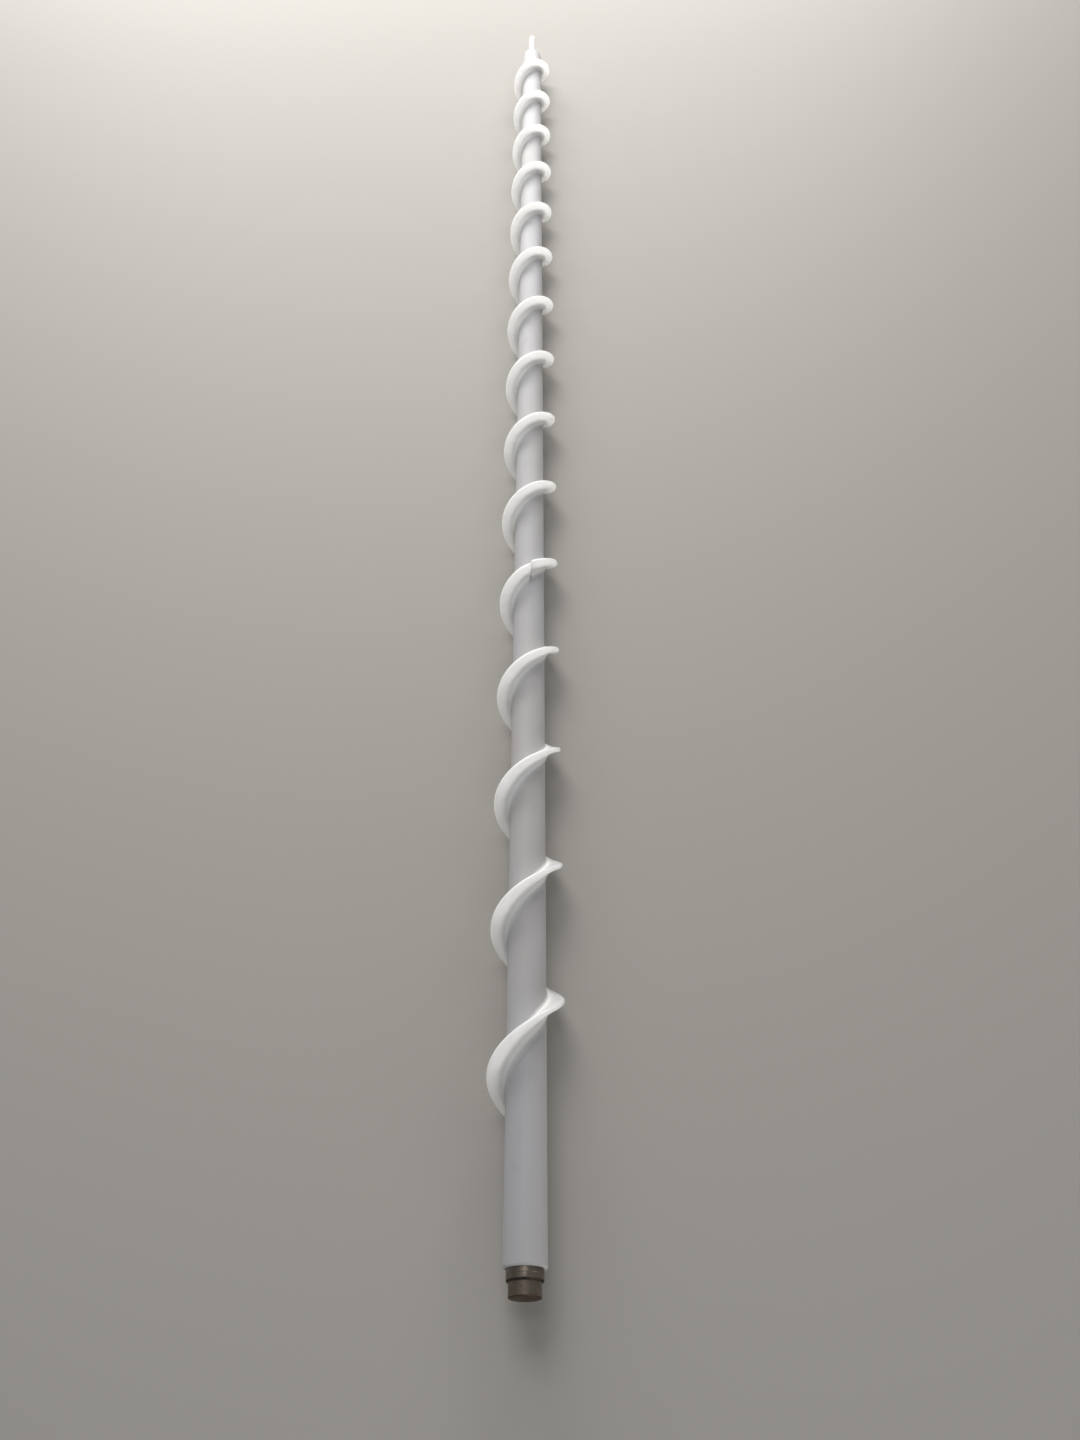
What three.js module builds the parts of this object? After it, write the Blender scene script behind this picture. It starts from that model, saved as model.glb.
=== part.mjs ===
// The screw of an inclined screw conveyor: a steel pipe core in a white plastic sleeve, with a
// right-hand white plastic flight of fifteen turns, a steel drive spigot and a steel tail journal.
// Millimetres. The origin is the centre of the drive spigot's face, +X runs along the axis to the
// tail, and +Z is up as the screw lies on its flight.
import * as THREE from "three";

// Driving dimensions.
const pitch = 224; // advance of one turn
const flightRadius = 55; // to the rim
const sleeveRadius = 28.5;
const pipeRadius = 24.15; // outside of a 1.5 inch pipe
const pipeWall = 2.6;
const pipeChamfer = 0.3;
const clearance = 0.3; // between pieces that fit in or on each other

const spigotLength = 20; // out of the pipe's end
const spigotChamfer = 1.5;
const barePipeLength = 13; // between the spigot and the sleeve
const sleeveEnd = 3620;
const sleeveChamfer = 3;
const pipeEnd = 3622;
const plugDepth = 60; // of both plugs in the pipe
const journalRadius = 10;
const journalEnd = 3770;
const journalChamfer = 1.5;
const weldLeg = 2.4; // of the bead round the spigot
const weldCrown = 0.35; // how far the middle of that bead stands out
const tailWeldWidth = 4;
const tailWeldCrownWidth = 2;
const tailWeldHeight = 1.6;

const flightStart = 220; // the flight's first section plane, under the shaft
const startAngle = THREE.MathUtils.degToRad(265); // 0 is the -Y side, 90 degrees the top
const fullTurns = 14;
const rootThickness = 9; // across the flight, not along the axis
const rimThickness = 7.5;
const rimFlat = 3.75; // what the two bevels leave of the rim
const rimBevelHeight = 3.5;
const rootFillet = 5;

// Every round piece has the same corners, so that neighbours' facets lie parallel, and a facet
// lies lowest. The facets touch the true circle, so corners stand a little outside it.
const stepsPerTurn = 36;
const stepAngle = (2 * Math.PI) / stepsPerTurn;
const cornerFactor = 1 / Math.cos(stepAngle / 2);

const whitePlastic = { color: 0xeeebe4, roughness: 0.42, metalness: 0 };
const turnedSteel = { color: 0x77706a, roughness: 0.45, metalness: 0.85 };
const weldMetal = { color: 0x3b3632, roughness: 0.7, metalness: 0.7 };

const screw = new THREE.Group();

function addPiece(name, geometry, finish) {
  const piece = new THREE.Mesh(geometry, new THREE.MeshStandardMaterial(finish));
  piece.name = name;
  screw.add(piece);
}

// A turned piece from its outline of [axial place, radius] pairs, with +X to the right of the
// outline and the outside passed from left to right.
function turnedGeometry(outline) {
  const points = outline.map(([place, radius]) => new THREE.Vector2(radius * cornerFactor, place));
  const geometry = new THREE.LatheGeometry(points, stepsPerTurn, stepAngle / 2);
  geometry.rotateZ(-Math.PI / 2);
  return geometry;
}

// A tube with chamfered outer edges.
function tubeGeometry(start, end, outerRadius, innerRadius, chamfer) {
  return turnedGeometry([
    [start, innerRadius],
    [start, outerRadius - chamfer],
    [start + chamfer, outerRadius],
    [end - chamfer, outerRadius],
    [end, outerRadius - chamfer],
    [end, innerRadius],
    [start, innerRadius],
  ]);
}

// Half of the flight's width along the axis, where its thickness across the helix is known.
function axialHalf(thickness, radius) {
  return (thickness / 2) * Math.hypot(1, pitch / (2 * Math.PI * radius));
}

// The flight's section in a plane through the axis: x along the axis, y away from it. A quarter
// arc, hollow, runs from the sleeve into each side, and a bevel from each side to the rim.
function flightSection() {
  const footRadius = sleeveRadius + clearance;
  const arcDrop = rootFillet * (1 - Math.cos(Math.PI / 4));
  const half = [
    [rootThickness + 2 * rootFillet, footRadius],
    [rootThickness + 2 * arcDrop, footRadius + arcDrop],
    [rootThickness, footRadius + rootFillet],
    [rimThickness, flightRadius - rimBevelHeight],
    [rimFlat, flightRadius],
  ];
  const points = half.map(([width, radius]) => new THREE.Vector2(axialHalf(width, radius), radius));
  const mirrored = points.map((point) => new THREE.Vector2(-point.x, point.y)).reverse();
  return new THREE.Shape([...points, ...mirrored]);
}

// A stretch of the flight: its section is extruded by one unit for each step, and then each
// layer is turned to its angle round the axis and moved along it.
function flightGeometry(section, firstStep, steps) {
  const geometry = new THREE.ExtrudeGeometry(section, { depth: steps, steps, bevelEnabled: false });
  const position = geometry.getAttribute("position");
  for (let i = 0; i < position.count; i += 1) {
    const step = firstStep + position.getZ(i);
    const angle = startAngle - step * stepAngle;
    const place = flightStart + (step * pitch) / stepsPerTurn + position.getX(i);
    const radius = position.getY(i) * cornerFactor;
    position.setXYZ(i, place, -radius * Math.cos(angle), radius * Math.sin(angle));
  }
  return geometry;
}

function addShaft() {
  const sleeveStart = spigotLength + barePipeLength;
  addPiece(
    "core_pipe",
    tubeGeometry(spigotLength, pipeEnd, pipeRadius, pipeRadius - pipeWall, pipeChamfer),
    turnedSteel,
  );
  addPiece(
    "shaft_sleeve",
    tubeGeometry(sleeveStart, sleeveEnd, sleeveRadius, pipeRadius + clearance, sleeveChamfer),
    whitePlastic,
  );
}

// The flight comes in one-turn sections that meet at the top, after a first and a last half turn.
function addFlight() {
  const section = flightSection();
  const halfTurn = stepsPerTurn / 2;
  addPiece("flight_start", flightGeometry(section, 0, halfTurn), whitePlastic);
  for (let turn = 0; turn < fullTurns; turn += 1) {
    const name = "flight_turn_" + String(turn + 1).padStart(2, "0");
    addPiece(name, flightGeometry(section, halfTurn + turn * stepsPerTurn, stepsPerTurn), whitePlastic);
  }
  const lastStep = halfTurn + fullTurns * stepsPerTurn;
  addPiece("flight_end", flightGeometry(section, lastStep, halfTurn), whitePlastic);
}

// The plug in the pipe's near end stands out of it as the drive spigot, and a bead welds it.
function addDriveEnd() {
  const plugRadius = pipeRadius - pipeWall - clearance;
  addPiece(
    "drive_plug",
    turnedGeometry([
      [0, 0],
      [0, plugRadius - spigotChamfer],
      [spigotChamfer, plugRadius],
      [spigotLength + plugDepth, plugRadius],
      [spigotLength + plugDepth, 0],
    ]),
    turnedSteel,
  );
  const beadFoot = plugRadius + clearance;
  const beadMiddle = weldLeg / 2 + weldCrown * Math.SQRT1_2;
  addPiece(
    "drive_weld",
    turnedGeometry([
      [spigotLength - weldLeg, beadFoot],
      [spigotLength - beadMiddle, beadFoot + beadMiddle],
      [spigotLength, beadFoot + weldLeg],
      [spigotLength, beadFoot],
      [spigotLength - weldLeg, beadFoot],
    ]),
    weldMetal,
  );
}

// The plug in the far end carries the tail journal, and a flat bead closes the joint round it.
function addTailEnd() {
  const plugRadius = pipeRadius - pipeWall - clearance;
  addPiece(
    "tail_journal",
    turnedGeometry([
      [pipeEnd - plugDepth, 0],
      [pipeEnd - plugDepth, plugRadius],
      [pipeEnd, plugRadius],
      [pipeEnd, journalRadius],
      [journalEnd - journalChamfer, journalRadius],
      [journalEnd, journalRadius - journalChamfer],
      [journalEnd, 0],
    ]),
    turnedSteel,
  );
  const jointRadius = pipeRadius - pipeWall;
  addPiece(
    "tail_weld",
    turnedGeometry([
      [pipeEnd, jointRadius - tailWeldWidth / 2],
      [pipeEnd, jointRadius + tailWeldWidth / 2],
      [pipeEnd + tailWeldHeight, jointRadius + tailWeldCrownWidth / 2],
      [pipeEnd + tailWeldHeight, jointRadius - tailWeldCrownWidth / 2],
      [pipeEnd, jointRadius - tailWeldWidth / 2],
    ]),
    weldMetal,
  );
}

addShaft();
addFlight();
addDriveEnd();
addTailEnd();

export default screw;
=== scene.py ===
from math import cos, pi, radians, sin

import bpy
import numpy as np
from mathutils import Matrix, Vector


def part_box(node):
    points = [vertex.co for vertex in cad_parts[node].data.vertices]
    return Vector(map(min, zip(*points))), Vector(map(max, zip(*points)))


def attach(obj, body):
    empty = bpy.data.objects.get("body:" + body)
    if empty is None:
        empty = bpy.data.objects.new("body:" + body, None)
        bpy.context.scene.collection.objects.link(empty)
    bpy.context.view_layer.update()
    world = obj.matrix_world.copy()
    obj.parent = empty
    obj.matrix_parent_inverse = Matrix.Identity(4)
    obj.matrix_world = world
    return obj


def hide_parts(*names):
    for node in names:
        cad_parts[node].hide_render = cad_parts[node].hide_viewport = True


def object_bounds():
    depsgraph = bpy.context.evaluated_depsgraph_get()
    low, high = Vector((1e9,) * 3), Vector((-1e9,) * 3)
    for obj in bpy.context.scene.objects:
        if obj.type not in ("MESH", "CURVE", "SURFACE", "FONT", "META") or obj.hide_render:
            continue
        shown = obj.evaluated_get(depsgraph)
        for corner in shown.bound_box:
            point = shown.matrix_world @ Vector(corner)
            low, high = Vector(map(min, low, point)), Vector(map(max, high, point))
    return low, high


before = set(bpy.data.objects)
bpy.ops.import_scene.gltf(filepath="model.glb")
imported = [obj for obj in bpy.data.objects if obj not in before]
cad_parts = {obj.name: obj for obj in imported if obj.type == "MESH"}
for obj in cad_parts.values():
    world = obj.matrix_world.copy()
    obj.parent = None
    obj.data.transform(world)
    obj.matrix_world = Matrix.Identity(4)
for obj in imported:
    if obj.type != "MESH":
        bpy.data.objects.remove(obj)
cadBox = [list(corner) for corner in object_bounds()]
print("frame loaded:", len(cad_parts), "nodes")

mm = 0.001


# Camera: the eye stands behind the drive end and looks down along the screw.
camera = {
    "place": (-0.2564, -0.0082, 1.4906),
    "tilt": 52.28,  # degrees below level
    "yaw": -0.600,
    "roll": 0.614,
    "focalPixels": 1091,
    "imageHeight": 1440,
    "sensor": 36,
}


def addCamera():
    tilt, yaw, roll = (radians(camera[key]) for key in ("tilt", "yaw", "roll"))
    ahead = Vector((cos(tilt) * cos(yaw), cos(tilt) * sin(yaw), -sin(tilt)))
    level = ahead.cross(Vector((0, 0, 1))).normalized()
    upright = level.cross(ahead)
    across = level * cos(roll) + upright * sin(roll)
    upward = upright * cos(roll) - level * sin(roll)
    lens = bpy.data.cameras.new("eye")
    lens.sensor_width = camera["sensor"]
    lens.lens = camera["sensor"] * camera["focalPixels"] / camera["imageHeight"]
    eye = bpy.data.objects.new("eye", lens)
    turn = Matrix((across, upward, -ahead)).transposed().to_4x4()
    eye.matrix_world = Matrix.Translation(camera["place"]) @ turn
    bpy.context.scene.collection.objects.link(eye)
    bpy.context.scene.camera = eye


# Light: two wide soft lights beyond the tail end, which shine through the thin flight, one over the far
# half, a low one behind the drive end, weak ones from the right and over the drive end, and a faint even
# surround.
studio = {
    "lights": {
        "tail": {"place": (7.8, 0.3, 2.2), "size": (6.0, 1.8), "watts": 400},
        "tail left": {"place": (7.5, 3.5, 1.0), "size": (4.0, 1.6), "watts": 75},
        "over": {"place": (3.4, 0.9, 3.6), "size": (2.4, 2.4), "watts": 76},
        "right": {"place": (2.8, -3.8, 2.6), "size": (5.0, 2.5), "watts": 8},
        "drive": {"place": (-3.0, -1.5, 0.6), "size": (3.0, 1.0), "watts": 40},
        "over drive": {"place": (0.5, 0, 3.0), "size": (0.9, 0.5), "watts": 6.5},
    },
    "aim": (1.8, 0, 0),
    "lightColour": (1.0, 0.985, 0.96),
    "surround": (0.80, 0.83, 0.88),
    "surroundStrength": 0.2,
    "floorSize": 60,
    "floorColour": (0.43, 0.41, 0.38),
    "floorRoughness": 0.7,
}


def addSoftLight(name, setting):
    lamp = bpy.data.lights.new(name, "AREA")
    lamp.shape = "RECTANGLE"
    lamp.size, lamp.size_y = setting["size"]
    lamp.energy = setting["watts"]
    lamp.color = studio["lightColour"]
    place = Vector(setting["place"])
    holder = bpy.data.objects.new(name, lamp)
    holder.location = place
    holder.rotation_euler = (Vector(studio["aim"]) - place).to_track_quat("-Z", "Y").to_euler()
    holder.visible_camera = False
    bpy.context.scene.collection.objects.link(holder)


def addStudio():
    for name, setting in studio["lights"].items():
        addSoftLight(name + " light", setting)
    world = bpy.data.worlds.new("surround")
    world.use_nodes = True
    sky = world.node_tree.nodes["Background"]
    sky.inputs["Color"].default_value = (*studio["surround"], 1)
    sky.inputs["Strength"].default_value = studio["surroundStrength"]
    bpy.context.scene.world = world

    half = studio["floorSize"] / 2
    level = cadBox[0][2]
    mesh = bpy.data.meshes.new("floor")
    corners = [(-half, -half, level), (half, -half, level), (half, half, level), (-half, half, level)]
    mesh.from_pydata(corners, [], [(0, 1, 2, 3)])
    floor = bpy.data.objects.new("floor", mesh)
    bpy.context.scene.collection.objects.link(floor)
    paint = bpy.data.materials.new("pale floor")
    paint.use_nodes = True
    shader = paint.node_tree.nodes["Principled BSDF"]
    shader.inputs["Base Color"].default_value = (*studio["floorColour"], 1)
    shader.inputs["Roughness"].default_value = studio["floorRoughness"]
    mesh.materials.append(paint)
    bpy.context.scene.view_settings.view_transform = "Standard"


# A value on its way through a material. Operators on it add Math nodes, and node() adds any other.
class Shade:
    def __init__(self, tree, socket):
        self.tree = tree
        self.socket = socket

    def node(self, kind, settings, inputs, output=0):
        made = self.tree.nodes.new(kind)
        for key, value in settings.items():
            setattr(made, key, value)
        for key, value in inputs.items():
            if isinstance(value, Shade):
                self.tree.links.new(value.socket, made.inputs[key])
            else:
                made.inputs[key].default_value = value
        return Shade(self.tree, made.outputs[output])

    def math(self, operation, first, second):
        return self.node("ShaderNodeMath", {"operation": operation}, {0: first, 1: second})

    def __add__(self, other):
        return self.math("ADD", self, other)

    def __rsub__(self, other):
        return self.math("SUBTRACT", other, self)

    def __mul__(self, other):
        return self.math("MULTIPLY", self, other)

    def axis(self, name):
        return self.node("ShaderNodeSeparateXYZ", {}, {0: self}, output=name)

    def length(self):
        return self.node("ShaderNodeVectorMath", {"operation": "LENGTH"}, {0: self}, output=1)

    def stretched(self, scale):
        return self.node("ShaderNodeMapping", {}, {"Vector": self, "Scale": scale})

    def noise(self, cells, detail, roughness=0.5):
        # cells per metre, in all directions or along each axis
        if isinstance(cells, tuple):
            return self.stretched(cells).noise(1, detail, roughness)
        sockets = {"Vector": self, "Scale": cells, "Detail": detail, "Roughness": roughness}
        return self.node("ShaderNodeTexNoise", {}, sockets)

    def between(self, low, high):
        limits = {"Value": self, "From Min": low, "From Max": high}
        return self.node("ShaderNodeMapRange", {"interpolation_type": "SMOOTHSTEP"}, limits)

    def blend(self, first, second):
        # self is the share of the second colour
        made = self.tree.nodes.new("ShaderNodeMix")
        made.data_type = "RGBA"
        for name, value in (("A", first), ("B", second)):
            socket = [s for s in made.inputs if s.name == name and s.type == "RGBA"][0]
            if isinstance(value, Shade):
                self.tree.links.new(value.socket, socket)
            else:
                socket.default_value = (*value, 1)
        self.tree.links.new(self.socket, made.inputs[0])
        return Shade(self.tree, [s for s in made.outputs if s.type == "RGBA"][0])

    def mixShaders(self, first, second):
        # self is the share of the second shader
        shaders = {1: Shade(self.tree, first.outputs[0]), 2: Shade(self.tree, second.outputs[0])}
        return self.node("ShaderNodeMixShader", {}, {0: self, **shaders})

    def bump(self, height):
        return self.node("ShaderNodeBump", {}, {"Height": self, "Distance": height})


def startMaterial(name):
    material = bpy.data.materials.new(name)
    material.use_nodes = True
    tree = material.node_tree
    shader = tree.nodes["Principled BSDF"]
    source = tree.nodes.new("ShaderNodeTexCoord")
    return material, shader, Shade(tree, source.outputs["Object"])


def feed(shader, **sockets):
    names = {
        "colour": "Base Color",
        "roughness": "Roughness",
        "metallic": "Metallic",
        "normal": "Normal",
        "coat": "Coat Weight",
    }
    for key, value in sockets.items():
        shader.id_data.links.new(value.socket, shader.inputs[names[key]])


# White plastic, a little translucent: light that enters the far side of the flight leaves the near side.
# A noise is given by its cells per metre, its detail and, where it isn't 0.5, its roughness. A span is the
# stretch of a noise's values, or of a distance, over which one look turns into the other.
plastic = {
    "refraction": 1.49,
    "mottleSpan": (0.35, 0.65),
    "smudgeRoughness": 0.3,
}
milled = {
    "scatter": (0.06, 0.059, 0.0575),  # metres, red, green, blue
    "clean": ((0.95, 0.945, 0.93), (0.94, 0.93, 0.895)),
    "mottle": (9, 4),
    "smudge": (0.84, 0.81, 0.76),
    "smudges": (22, 6, 0.62),
    "smudgeSpan": (0.56, 0.74),
    "smudgeShare": 0.35,
    "roughness": 0.28,  # the least; clouds and smudges add to it
    "clouds": (35, 5),
    "cloudRoughness": 0.16,
    "toolLines": ((6, 1500, 1), 2),  # along the rim and across the face
    "grain": (900, 2),
    "grainShare": 0.5,
    "relief": 0.04 * mm,
    # painted shade: the flight's thin foot edge is painted grey, as grey as the sleeve
    "foot": (0.6, 0.595, 0.605),
    "footShadeSpan": (28.5 * mm, 32 * mm),  # distances from the axis
    "opaqueSpan": (31 * mm, 41 * mm),
}
drawn = {
    "scatter": (0.005, 0.005, 0.005),
    # the sleeve's plastic is painted grey, darker than the flight's white: partly its own duller tone,
    # partly painted shade
    "clean": ((0.565, 0.562, 0.585), (0.565, 0.546, 0.54)),
    "mottle": ((2, 9, 9), 4),
    "smudge": (0.46, 0.435, 0.415),
    "smudges": ((12, 26, 26), 6, 0.6),
    "smudgeSpan": (0.57, 0.76),
    "smudgeShare": 0.3,
    "roughness": 0.52,
    "clouds": ((5, 60, 60), 5),
    "cloudRoughness": 0.2,
    "drawLines": ((2.5, 700, 700), 3),
    "relief": 0.05 * mm,
}


def plasticFinish(shader, spot, look):
    # two clean colours in soft patches, with smudges that are rougher, and clouds in the roughness
    shader.inputs["Subsurface Weight"].default_value = 1
    shader.inputs["Subsurface Radius"].default_value = look["scatter"]
    shader.inputs["Subsurface Scale"].default_value = 1
    shader.inputs["IOR"].default_value = plastic["refraction"]
    mottle = spot.noise(*look["mottle"]).between(*plastic["mottleSpan"])
    smudges = spot.noise(*look["smudges"]).between(*look["smudgeSpan"]) * look["smudgeShare"]
    colour = smudges.blend(mottle.blend(*look["clean"]), look["smudge"])
    clouds = spot.noise(*look["clouds"]) * look["cloudRoughness"]
    rough = clouds + smudges * plastic["smudgeRoughness"] + look["roughness"]
    return {"colour": colour, "roughness": rough}


def flightPlastic():
    material, shader, spot = startMaterial("milled white plastic")
    finish = plasticFinish(shader, spot, milled)
    along = Shade(spot.tree, spot.tree.nodes["Texture Coordinate"].outputs["UV"])
    toolLines = along.noise(*milled["toolLines"])
    grain = spot.noise(*milled["grain"]) * milled["grainShare"]
    finish["normal"] = (toolLines + grain).bump(milled["relief"])
    feed(shader, **finish)

    # the foot sits on the dark shaft: little shines through it. Its thin edge is painted as grey as the
    # sleeve, a painted shade where the flight meets the sleeve
    distance = spot.stretched((0, 1, 1)).length()
    white = distance.between(*milled["footShadeSpan"])
    clear = distance.between(*milled["opaqueSpan"])
    opaque = spot.tree.nodes.new("ShaderNodeBsdfPrincipled")
    opaque.inputs["Specular IOR Level"].default_value = 0
    finish["colour"] = white.blend(milled["foot"], finish["colour"])
    feed(opaque, **finish)
    surface = clear.mixShaders(opaque, shader)
    surface.tree.links.new(surface.socket, surface.tree.nodes["Material Output"].inputs["Surface"])
    return material


def sleevePlastic():
    material, shader, spot = startMaterial("drawn white plastic")
    finish = plasticFinish(shader, spot, drawn)
    finish["normal"] = spot.noise(*drawn["drawLines"]).bump(drawn["relief"])
    feed(shader, **finish)
    return material


# Turned steel under a film of oil, with brown stains in patches at the drive end. Its end face is painted
# dark brown and without oil, a painted shade, and towards the tail the steel is painted pale, a painted
# light.
steel = {
    "bare": (0.25, 0.21, 0.17),
    "stain": (0.065, 0.034, 0.016),
    # painted light: towards the tail the steel is painted pale
    "bright": (0.66, 0.65, 0.64),
    "brightSpan": (0.5, 3.4),  # metres from the end face
    # painted shade: the end face is painted dark brown and its oil coat taken off
    "endFaceSpan": (2.5 * mm, 0.2 * mm),
    "endFaceShade": 0.9,
    "rings": ((2600, 3, 3), 2),
    "ringStain": 0.25,
    "patches": (44, 5, 0.6),
    "patchSpan": (0.42, 0.66),
    "patchStain": 0.55,
    "patchDullness": 0.5,
    "roughness": 0.36,  # the least; patches and rings add to it
    "patchRoughness": 0.22,
    "ringRoughness": 0.15,
    "relief": 0.05 * mm,
    "oil": 0.55,
    "oilRoughness": 0.22,
}


def turnedSteel():
    material, shader, spot = startMaterial("turned steel")
    rings = spot.noise(*steel["rings"])
    patches = spot.noise(*steel["patches"]).between(*steel["patchSpan"])
    place = spot.axis("X")
    # painted shade: on the end face the colour goes to the dark brown stain and the oil coat is taken off
    endShade = place.between(*steel["endFaceSpan"]) * steel["endFaceShade"]
    dull = (patches * steel["patchStain"] + rings * steel["ringStain"]).blend(steel["bare"], steel["stain"])
    # painted light: the colour turns pale towards the tail
    colour = place.between(*steel["brightSpan"]).blend(endShade.blend(dull, steel["stain"]), steel["bright"])
    rough = patches * steel["patchRoughness"] + rings * steel["ringRoughness"] + steel["roughness"]
    shader.inputs["Coat Roughness"].default_value = steel["oilRoughness"]
    feed(
        shader,
        colour=colour,
        roughness=rough,
        metallic=1 - patches * steel["patchDullness"],
        normal=rings.bump(steel["relief"]),
        coat=(1 - endShade) * steel["oil"],
    )
    return material


# Weld metal, dark with scale.
weldMetal = {
    "dark": (0.025, 0.020, 0.016),
    "brown": (0.05, 0.036, 0.028),
    "tint": (180, 4),
    "tintSpan": (0.4, 0.6),
    "tintDullness": 0.4,
    "pits": (1400, 3),
    "pitRoughness": 0.3,
    "roughness": 0.35,
    "relief": 0.1 * mm,
}


def scaledWeld():
    material, shader, spot = startMaterial("weld scale")
    tint = spot.noise(*weldMetal["tint"]).between(*weldMetal["tintSpan"])
    pits = spot.noise(*weldMetal["pits"])
    feed(
        shader,
        colour=tint.blend(weldMetal["dark"], weldMetal["brown"]),
        roughness=pits * weldMetal["pitRoughness"] + weldMetal["roughness"],
        metallic=1 - tint * weldMetal["tintDullness"],
        normal=pits.bump(weldMetal["relief"]),
    )
    return material


def addPiece(name, mesh, material, slot, *nodes):
    mesh.materials.append(material)
    piece = bpy.data.objects.new(name, mesh)
    bpy.context.scene.collection.objects.link(piece)
    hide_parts(*nodes)
    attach(piece, "root")


# The flight. Its section, across the helix, is a hollow quarter round from the sleeve into each side, a
# wide one on the near side, then sides that draw in a little, and a rim rounded over. One joint of two
# sections shows: the foot of the near face is worn open there, and they don't quite meet in line.
flight = {
    "pitch": 224 * mm,
    "start": 220 * mm,
    "startAngle": radians(265),  # 0 is the -Y side, 90 degrees the top
    "fullTurns": 14,
    "rootThickness": 9 * mm,
    "rimThickness": 7.5 * mm,
    "nearFillet": 14 * mm,
    "farFillet": 5 * mm,
    "rimRounding": 3.5 * mm,
    "footSink": 0.02 * mm,  # into the sleeve, so that no gap shows
    "rowsPerTurn": 180,
    "filletPoints": 9,
    "sidePoints": 5,
    "rimPoints": 8,
    "endRounding": 1.2 * mm,
    "endRows": 9,
    "endSpace": 1.1,  # times the rounded stretch, which the even rows leave free
    "openJoint": 4,  # the full turn whose further end shows
    "openFoot": 4.6 * mm,  # half the joint's opening at the sleeve
    "openRim": 0.8 * mm,
    "openBack": 0.3 * mm,  # on the further face
    "slips": (-3 * mm, 2.4 * mm),  # of the nearer and the further section at the joint
    "slipTurns": 0.07,
    "nudge": 1e-4,  # turns, to find the shading's direction
}
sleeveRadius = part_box("shaft_sleeve")[1].z
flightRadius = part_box("flight_turn_01")[1].z
rimTurn = 2 * pi * flightRadius  # metres of rim in a turn


def halfOutline(fillet):
    # Half width and radius down one side, t a quarter turn:
    # fillet: w = root / 2 + f (1 - sin t), r = foot + f (1 - cos t)
    # rim: w = rim / 2 - c (1 - cos t), r = R - c (1 - sin t)
    foot = sleeveRadius - flight["footSink"]
    rounding = flight["rimRounding"]
    low = np.linspace(0, pi / 2, flight["filletPoints"])
    high = np.linspace(0, pi / 2, flight["rimPoints"])
    side = np.linspace(0, 1, flight["sidePoints"] + 2)[1:-1]
    sideFoot = np.array([flight["rootThickness"] / 2, foot + fillet])
    sideTop = np.array([flight["rimThickness"] / 2, flightRadius - rounding])
    filletPart = np.column_stack(
        [sideFoot[0] + fillet * (1 - np.sin(low)), foot + fillet * (1 - np.cos(low))]
    )
    sidePart = sideFoot + side[:, None] * (sideTop - sideFoot)
    rimPart = np.column_stack(
        [sideTop[0] - rounding * (1 - np.cos(high)), flightRadius - rounding * (1 - np.sin(high))]
    )
    return np.concatenate([filletPart, sidePart, rimPart])


def flightOutline():
    # towards the drive end first, over the rim, and down the other side
    near, far = halfOutline(flight["nearFillet"]), halfOutline(flight["farFillet"])
    return np.concatenate([near * (-1, 1), far[::-1]])


def edgeSizes(outline, style):
    # how far the edge of a section's end is rounded, at each point of the outline
    if style == "rounded":
        return np.full(len(outline), flight["endRounding"])
    height = (outline[:, 1] - sleeveRadius) / (flightRadius - sleeveRadius)
    near = flight["openFoot"] + (flight["openRim"] - flight["openFoot"]) * np.clip(height, 0, 1)
    return np.where(outline[:, 0] < 0, near, flight["openBack"])


def insets(distance, sizes):
    # quarter round: inset = size - sqrt(size^2 - (size - d)^2), d metres from the section's end
    left = np.clip(1 - distance / sizes, 0, 1)
    return sizes * (1 - np.sqrt(1 - left**2))


def insetOutline(outline, inset):
    # moves each point of the outline into the section, square to it
    run = np.gradient(outline, axis=0)
    run /= np.linalg.norm(run, axis=1)[:, None]
    inward = np.column_stack([run[:, 1], -run[:, 0]])
    return outline + inward * inset[..., None]


def flightPoints(outline, steps, joint, slip):
    # At step s, in turns: angle a = a0 - 2 pi s, x = x0 + pitch s + w hypot(1, pitch / (2 pi r)),
    # y = -r cos a, z = r sin a. The slip fades away from the joint as (1 - u)^2 (1 + 2 u).
    width, radius = outline[..., 0], outline[..., 1]
    angle = flight["startAngle"] - 2 * pi * steps[:, None]
    lean = np.hypot(1, flight["pitch"] / (2 * pi * radius))
    along = flight["start"] + flight["pitch"] * steps[:, None] + width * lean
    u = np.clip(np.abs(steps[:, None] - joint) / flight["slipTurns"], 0, 1)
    along = along + slip * (1 - u) ** 2 * (1 + 2 * u)
    around = np.broadcast_to(radius, along.shape)
    return np.stack([along, -around * np.cos(angle), around * np.sin(angle)], axis=-1)


def flightRows(outline, first, last, styles):
    # the rows of a section, closer together at a shaped end, and the inset of each outline point
    steps = np.linspace(first, last, int(round((last - first) * flight["rowsPerTurn"])) + 1)
    close = 1 - np.cos(np.linspace(0, pi / 2, flight["endRows"]))
    for end, style, sign in ((first, styles[0], 1), (last, styles[1], -1)):
        reach = np.max(edgeSizes(outline, style) / outline[:, 1]) / (2 * pi)
        even = steps[np.abs(steps - end) > reach * flight["endSpace"]]
        steps = np.concatenate([even, end + sign * reach * close])
    steps = np.sort(steps)
    inset = np.zeros((len(steps), len(outline)))
    for end, style in ((first, styles[0]), (last, styles[1])):
        turned = 2 * pi * outline[:, 1] * np.abs(steps - end)[:, None]
        inset += insets(turned, edgeSizes(outline, style))
    return steps, inset


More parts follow.
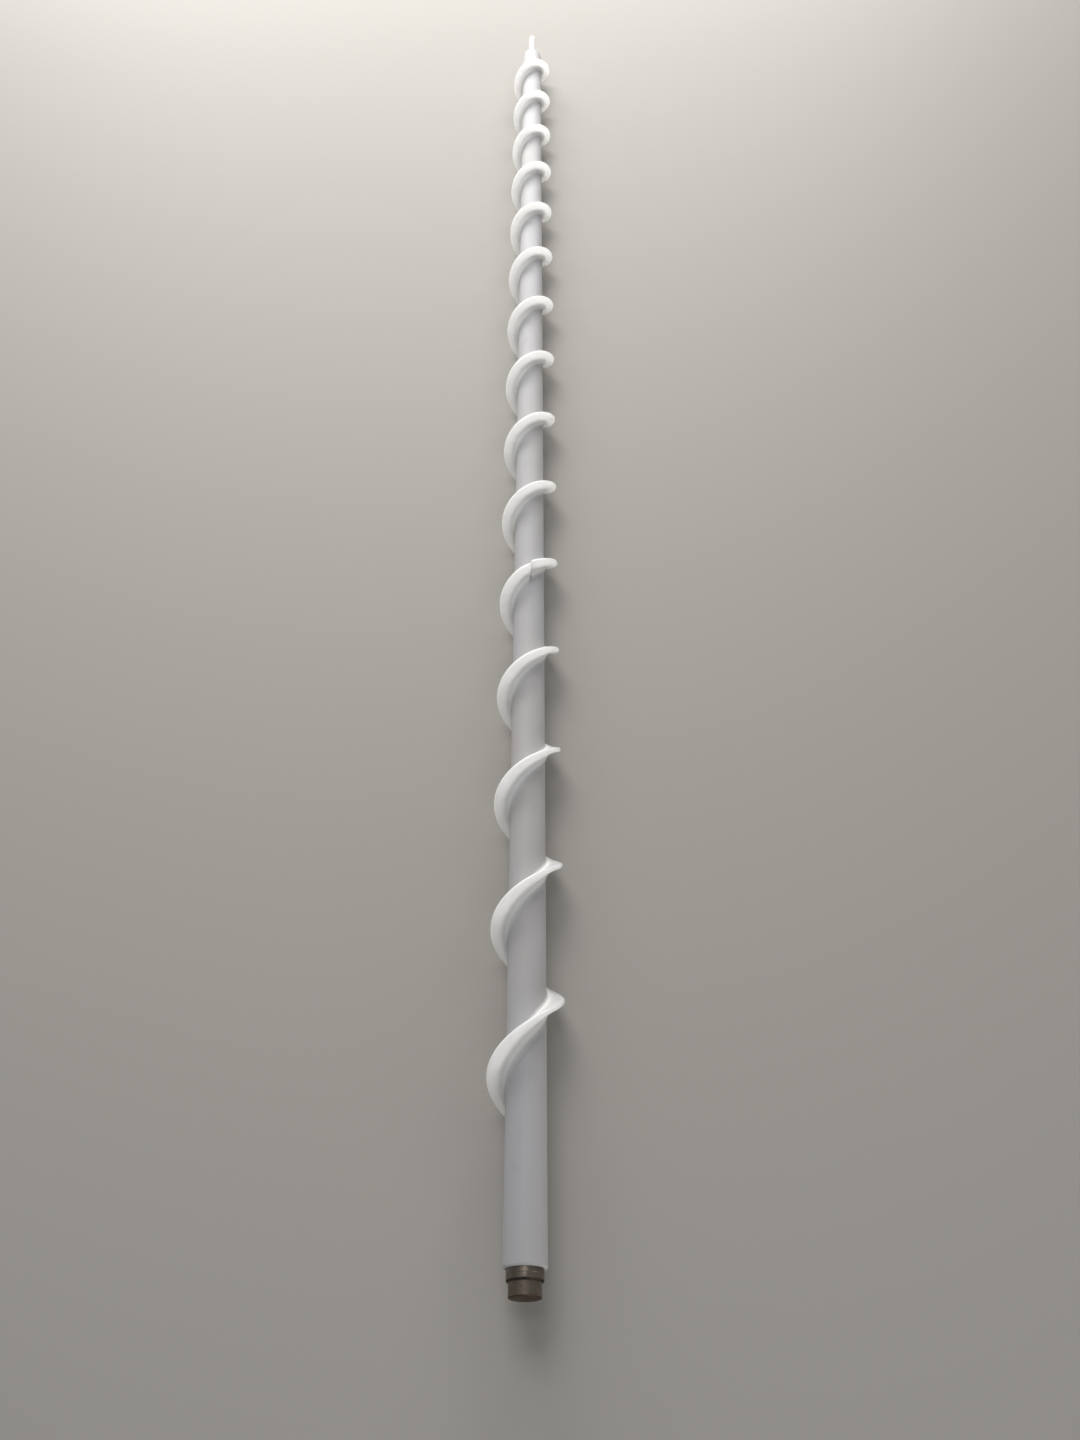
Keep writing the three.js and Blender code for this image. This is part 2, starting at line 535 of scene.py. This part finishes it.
def flightFaces(rows, points):
    # quads round the section's outline, under its foot, and across both ends from one side to the other
    index = np.arange(rows * points).reshape(rows, points)
    corners = [index[:-1, :-1], index[1:, :-1], index[1:, 1:], index[:-1, 1:]]
    sides = np.stack(corners, axis=-1).reshape(-1, 4)
    under = np.stack([index[:-1, -1], index[1:, -1], index[1:, 0], index[:-1, 0]], axis=-1)
    left = np.arange(points // 2 - 1)
    ladder = np.stack([left, left + 1, points - 2 - left, points - 1 - left], axis=-1)
    return sides, under, index[0][ladder], index[-1][ladder[:, ::-1]]


def flightMesh(name, first, last, styles, joint, slip):
    outline = flightOutline()
    steps, inset = flightRows(outline, first, last, styles)
    outlines = insetOutline(outline, inset)
    grid = flightPoints(outlines, steps, joint, slip)
    points = len(outline)

    # shading directions from the surface carried a little past both ends, so that no seam shows
    after = flightPoints(outlines, steps + flight["nudge"], joint, slip)
    ahead = after - flightPoints(outlines, steps - flight["nudge"], joint, slip)
    shaped = np.max(inset, axis=1) > 0
    ahead[shaped] = np.gradient(grid, axis=0)[shaped]
    facing = np.cross(ahead, np.gradient(grid, axis=1))
    facing /= np.linalg.norm(facing, axis=2)[..., None]

    sides, under, startCap, endCap = flightFaces(len(steps), points)
    faces = np.concatenate([sides, under, startCap, endCap])

    angles = flight["startAngle"] - 2 * pi * steps
    inward = np.column_stack([0 * angles, np.cos(angles), -np.sin(angles)])
    backward = np.column_stack([0 * angles, np.sin(angles), np.cos(angles)])
    normals = np.concatenate(
        [
            facing.reshape(-1, 3)[sides.reshape(-1)],
            inward[under.reshape(-1) // points],
            np.repeat(backward[:1], startCap.size, axis=0),
            np.repeat(-backward[-1:], endCap.size, axis=0),
        ]
    )

    mesh = bpy.data.meshes.new(name)
    mesh.from_pydata(grid.reshape(-1, 3).tolist(), [], faces.tolist())
    across = np.concatenate([[0], np.cumsum(np.linalg.norm(np.diff(outline, axis=0), axis=1))])
    places = np.broadcast_arrays((steps * rimTurn)[:, None], across[None, :])
    uv = np.stack(places, axis=-1).reshape(-1, 2)
    layer = mesh.uv_layers.new(name="along")
    layer.data.foreach_set("uv", uv[faces.reshape(-1)].astype(np.float32).ravel())
    mesh.polygons.foreach_set("use_smooth", np.ones(len(faces), bool))
    mesh.normals_split_custom_set(normals.tolist())
    mesh.update()
    return mesh


def addFlight(material):
    # the sections are welded and dressed into two runs, and the joint that shows lies between them
    turns = flight["fullTurns"]
    names = ["flight_start"] + ["flight_turn_%02d" % (k + 1) for k in range(turns)] + ["flight_end"]
    before = flight["openJoint"] + 1
    joint = flight["openJoint"] + 0.5
    nearSlip, farSlip = flight["slips"]
    mesh = flightMesh("flight near", 0, joint, ("rounded", "open"), joint, nearSlip)
    addPiece("flight_near", mesh, material, "white_plastic", *names[:before])
    mesh = flightMesh("flight far", joint, turns + 1, ("open", "rounded"), joint, farSlip)
    addPiece("flight_far", mesh, material, "white_plastic", *names[before:])
    print("flight: two runs of", len(names), "sections")


# Turned pieces.
lathe = {"sides": 160, "cornerPoints": 5, "sharpAngle": radians(32)}


def roundedOutline(corners):
    # corners are (x, radius, rounding); each rounded corner becomes an arc that touches both its sides
    places = [Vector((x, r)) for x, r, _ in corners]
    points = []
    for k, (x, r, rounding) in enumerate(corners):
        here = places[k]
        if rounding == 0:
            points.append((x, r))
            continue
        before = (places[k - 1] - here).normalized()
        after = (places[(k + 1) % len(places)] - here).normalized()
        halfAngle = before.angle(after) / 2
        middle = here + (before + after).normalized() * (rounding / sin(halfAngle))
        first = here + before * (rounding * cos(halfAngle) / sin(halfAngle)) - middle
        last = here + after * (rounding * cos(halfAngle) / sin(halfAngle)) - middle
        span = first.angle_signed(last)
        for t in np.linspace(0, 1, lathe["cornerPoints"]):
            arm = Matrix.Rotation(-span * t, 2) @ first
            points.append(tuple(middle + arm))
    return np.array(points)


def turnedMesh(name, outline, closed=True, sides=lathe["sides"], ripple=None):
    # Point (i, j): x = x_j, y = -r_j cos a_i, z = r_j sin a_i, a_i = 2 pi i / sides. An open outline
    # starts and ends on the axis.
    angle = np.linspace(0, 2 * pi, sides, endpoint=False)
    body = outline if closed else outline[1:-1]
    along = np.broadcast_to(body[:, :1], (len(body), sides))
    radius = np.broadcast_to(body[:, 1:], (len(body), sides))
    if ripple is not None:
        along, radius = ripple(along, radius, angle)
    grid = np.stack([along, -radius * np.cos(angle), radius * np.sin(angle)], axis=-1)
    index = np.arange(len(body) * sides).reshape(len(body), sides)
    rings = np.concatenate([index, index[:1]]) if closed else index
    beside = np.roll(rings, -1, axis=1)
    quads = np.stack([rings[:-1], rings[1:], beside[1:], beside[:-1]], axis=-1).reshape(-1, 4)
    points = grid.reshape(-1, 3)
    faces = quads.tolist()
    if not closed:
        tips = np.array([[outline[0, 0], 0, 0], [outline[-1, 0], 0, 0]])
        points = np.concatenate([points, tips])
        firstTip, lastTip = len(points) - 2, len(points) - 1
        faces += [[firstTip, a, b] for a, b in zip(index[0], np.roll(index[0], -1))]
        faces += [[lastTip, b, a] for a, b in zip(index[-1], np.roll(index[-1], -1))]
    mesh = bpy.data.meshes.new(name)
    mesh.from_pydata(points.tolist(), [], faces)
    mesh.polygons.foreach_set("use_smooth", np.ones(len(faces), bool))
    mesh.set_sharp_from_angle(angle=lathe["sharpAngle"])
    mesh.update()
    return mesh


shaft = {
    "plugGap": 0.3 * mm,
    "pipeWall": 2.6 * mm,
    "pipeEdge": 0.4 * mm,
    "boreEdge": 0.2 * mm,
    "grooveAt": 6.5 * mm,  # from the pipe's end
    "grooveWidth": 0.9 * mm,
    "grooveDepth": 0.3 * mm,
    "sleeveEdge": 3 * mm,
    "sleeveBoreEdge": 0.3 * mm,
    "spigotEdge": 1.5 * mm,
    "journalRadius": 10 * mm,
    "journalEdge": 1.5 * mm,
    "journalRoot": 1 * mm,
}


def tubeCorners(start, end, outer, inner, edge, innerEdge):
    return [(start, inner, innerEdge), (start, outer, edge), (end, outer, edge), (end, inner, innerEdge)]


def addShaft(sleeveMaterial, steelMaterial):
    low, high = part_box("shaft_sleeve")
    pipeLow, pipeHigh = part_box("core_pipe")
    bore = pipeHigh.z + shaft["plugGap"]
    corners = tubeCorners(low.x, high.x, sleeveRadius, bore, shaft["sleeveEdge"], shaft["sleeveBoreEdge"])
    mesh = turnedMesh("sleeve", roundedOutline(corners))
    addPiece("sleeve_tube", mesh, sleeveMaterial, "white_plastic", "shaft_sleeve")

    outer = pipeHigh.z
    inner = outer - shaft["pipeWall"]
    corners = tubeCorners(pipeLow.x, pipeHigh.x, outer, inner, shaft["pipeEdge"], shaft["boreEdge"])
    middle, half, depth = pipeLow.x + shaft["grooveAt"], shaft["grooveWidth"] / 2, shaft["grooveDepth"]
    groove = [(middle - half, outer, 0), (middle, outer - depth, 0), (middle + half, outer, 0)]
    corners[2:2] = groove
    mesh = turnedMesh("pipe", roundedOutline(corners))
    addPiece("pipe", mesh, steelMaterial, "turned_steel", "core_pipe")

    plugLow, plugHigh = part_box("drive_plug")
    corners = [
        (plugLow.x, 0, 0),
        (plugLow.x, plugHigh.z, shaft["spigotEdge"]),
        (plugHigh.x, plugHigh.z, 0),
        (plugHigh.x, 0, 0),
    ]
    mesh = turnedMesh("spigot", roundedOutline(corners), closed=False)
    addPiece("drive_spigot", mesh, steelMaterial, "turned_steel", "drive_plug")

    tailLow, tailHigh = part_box("tail_journal")
    journal = shaft["journalRadius"]
    corners = [
        (tailLow.x, 0, 0),
        (tailLow.x, tailHigh.z, 0),
        (pipeHigh.x, tailHigh.z, 0),
        (pipeHigh.x, journal, shaft["journalRoot"]),
        (tailHigh.x, journal, shaft["journalEdge"]),
        (tailHigh.x, 0, 0),
    ]
    mesh = turnedMesh("journal", roundedOutline(corners), closed=False)
    addPiece("journal", mesh, steelMaterial, "turned_steel", "tail_journal")
    print("shaft: sleeve, pipe, spigot and journal")


# Weld beads, with the ripples of the run across them.
weld = {
    "sides": 720,
    "archPoints": 15,
    "spigotCrown": 0.7 * mm,
    "ripples": 58,
    "rippleDepth": 0.32,  # of the bead's height
    "rippleBow": 1.3,  # radians by which a ripple's middle leads its feet
    "sway": (0.9, 5),  # of the ripples, in radians, and how often in a turn
    "wander": 0.13,  # of the bead's height, slowly round the joint
    "wanders": ((0.6, 3, 0), (0.4, 7, 1)),  # its waves: share, how often in a turn, and phase
}


def bead(name, feet, height, backing):
    # Arch over the two feet: point = foot + t (foot' - foot) + out h 4 t (1 - t), t from 0 to 1, where
    # h = height (1 + wander (sum of share sin(n a + phase)) - depth sin^2(run)), and
    # run = ripples a / 2 + sway sin(m a) + bow sin(pi t).
    start, end = np.array(feet)
    out = np.array([-(end - start)[1], (end - start)[0]]) / np.linalg.norm(end - start)
    t = np.linspace(0, 1, weld["archPoints"])
    backing = np.array(backing).reshape(-1, 2)
    outline = np.concatenate([start + t[:, None] * (end - start), backing])
    share = np.concatenate([4 * t * (1 - t), np.zeros(len(backing))])[:, None]
    bow = np.concatenate([np.sin(pi * t), np.zeros(len(backing))])[:, None] * weld["rippleBow"]

    def ripple(along, radius, angle):
        sway, times = weld["sway"]
        runs = np.sin(weld["ripples"] * angle / 2 + sway * np.sin(times * angle) + bow) ** 2
        slow = sum(part * np.sin(n * angle + phase) for part, n, phase in weld["wanders"])
        rise = height * share * (1 + weld["wander"] * slow - weld["rippleDepth"] * runs)
        return along + rise * out[0], radius + rise * out[1]

    return turnedMesh(name, outline, sides=weld["sides"], ripple=ripple)


def addWelds(material):
    low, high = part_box("drive_weld")
    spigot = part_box("drive_plug")[1].z
    feet = ((low.x, spigot), (high.x, high.z))
    mesh = bead("drive bead", feet, weld["spigotCrown"], [(high.x, spigot)])
    addPiece("drive_bead", mesh, material, "weld_metal", "drive_weld")

    low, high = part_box("tail_weld")
    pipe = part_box("core_pipe")[1].z
    joint = pipe - shaft["pipeWall"]
    half = high.z - joint
    feet = ((low.x, joint + half), (low.x, joint - half))
    mesh = bead("tail bead", feet, high.x - low.x, [])
    addPiece("tail_bead", mesh, material, "weld_metal", "tail_weld")
    print("welds: two")


addCamera()
addStudio()
flightMaterial = flightPlastic()
sleeveMaterial = sleevePlastic()
steelMaterial = turnedSteel()
weldMaterial = scaledWeld()
addFlight(flightMaterial)
addShaft(sleeveMaterial, steelMaterial)
addWelds(weldMaterial)
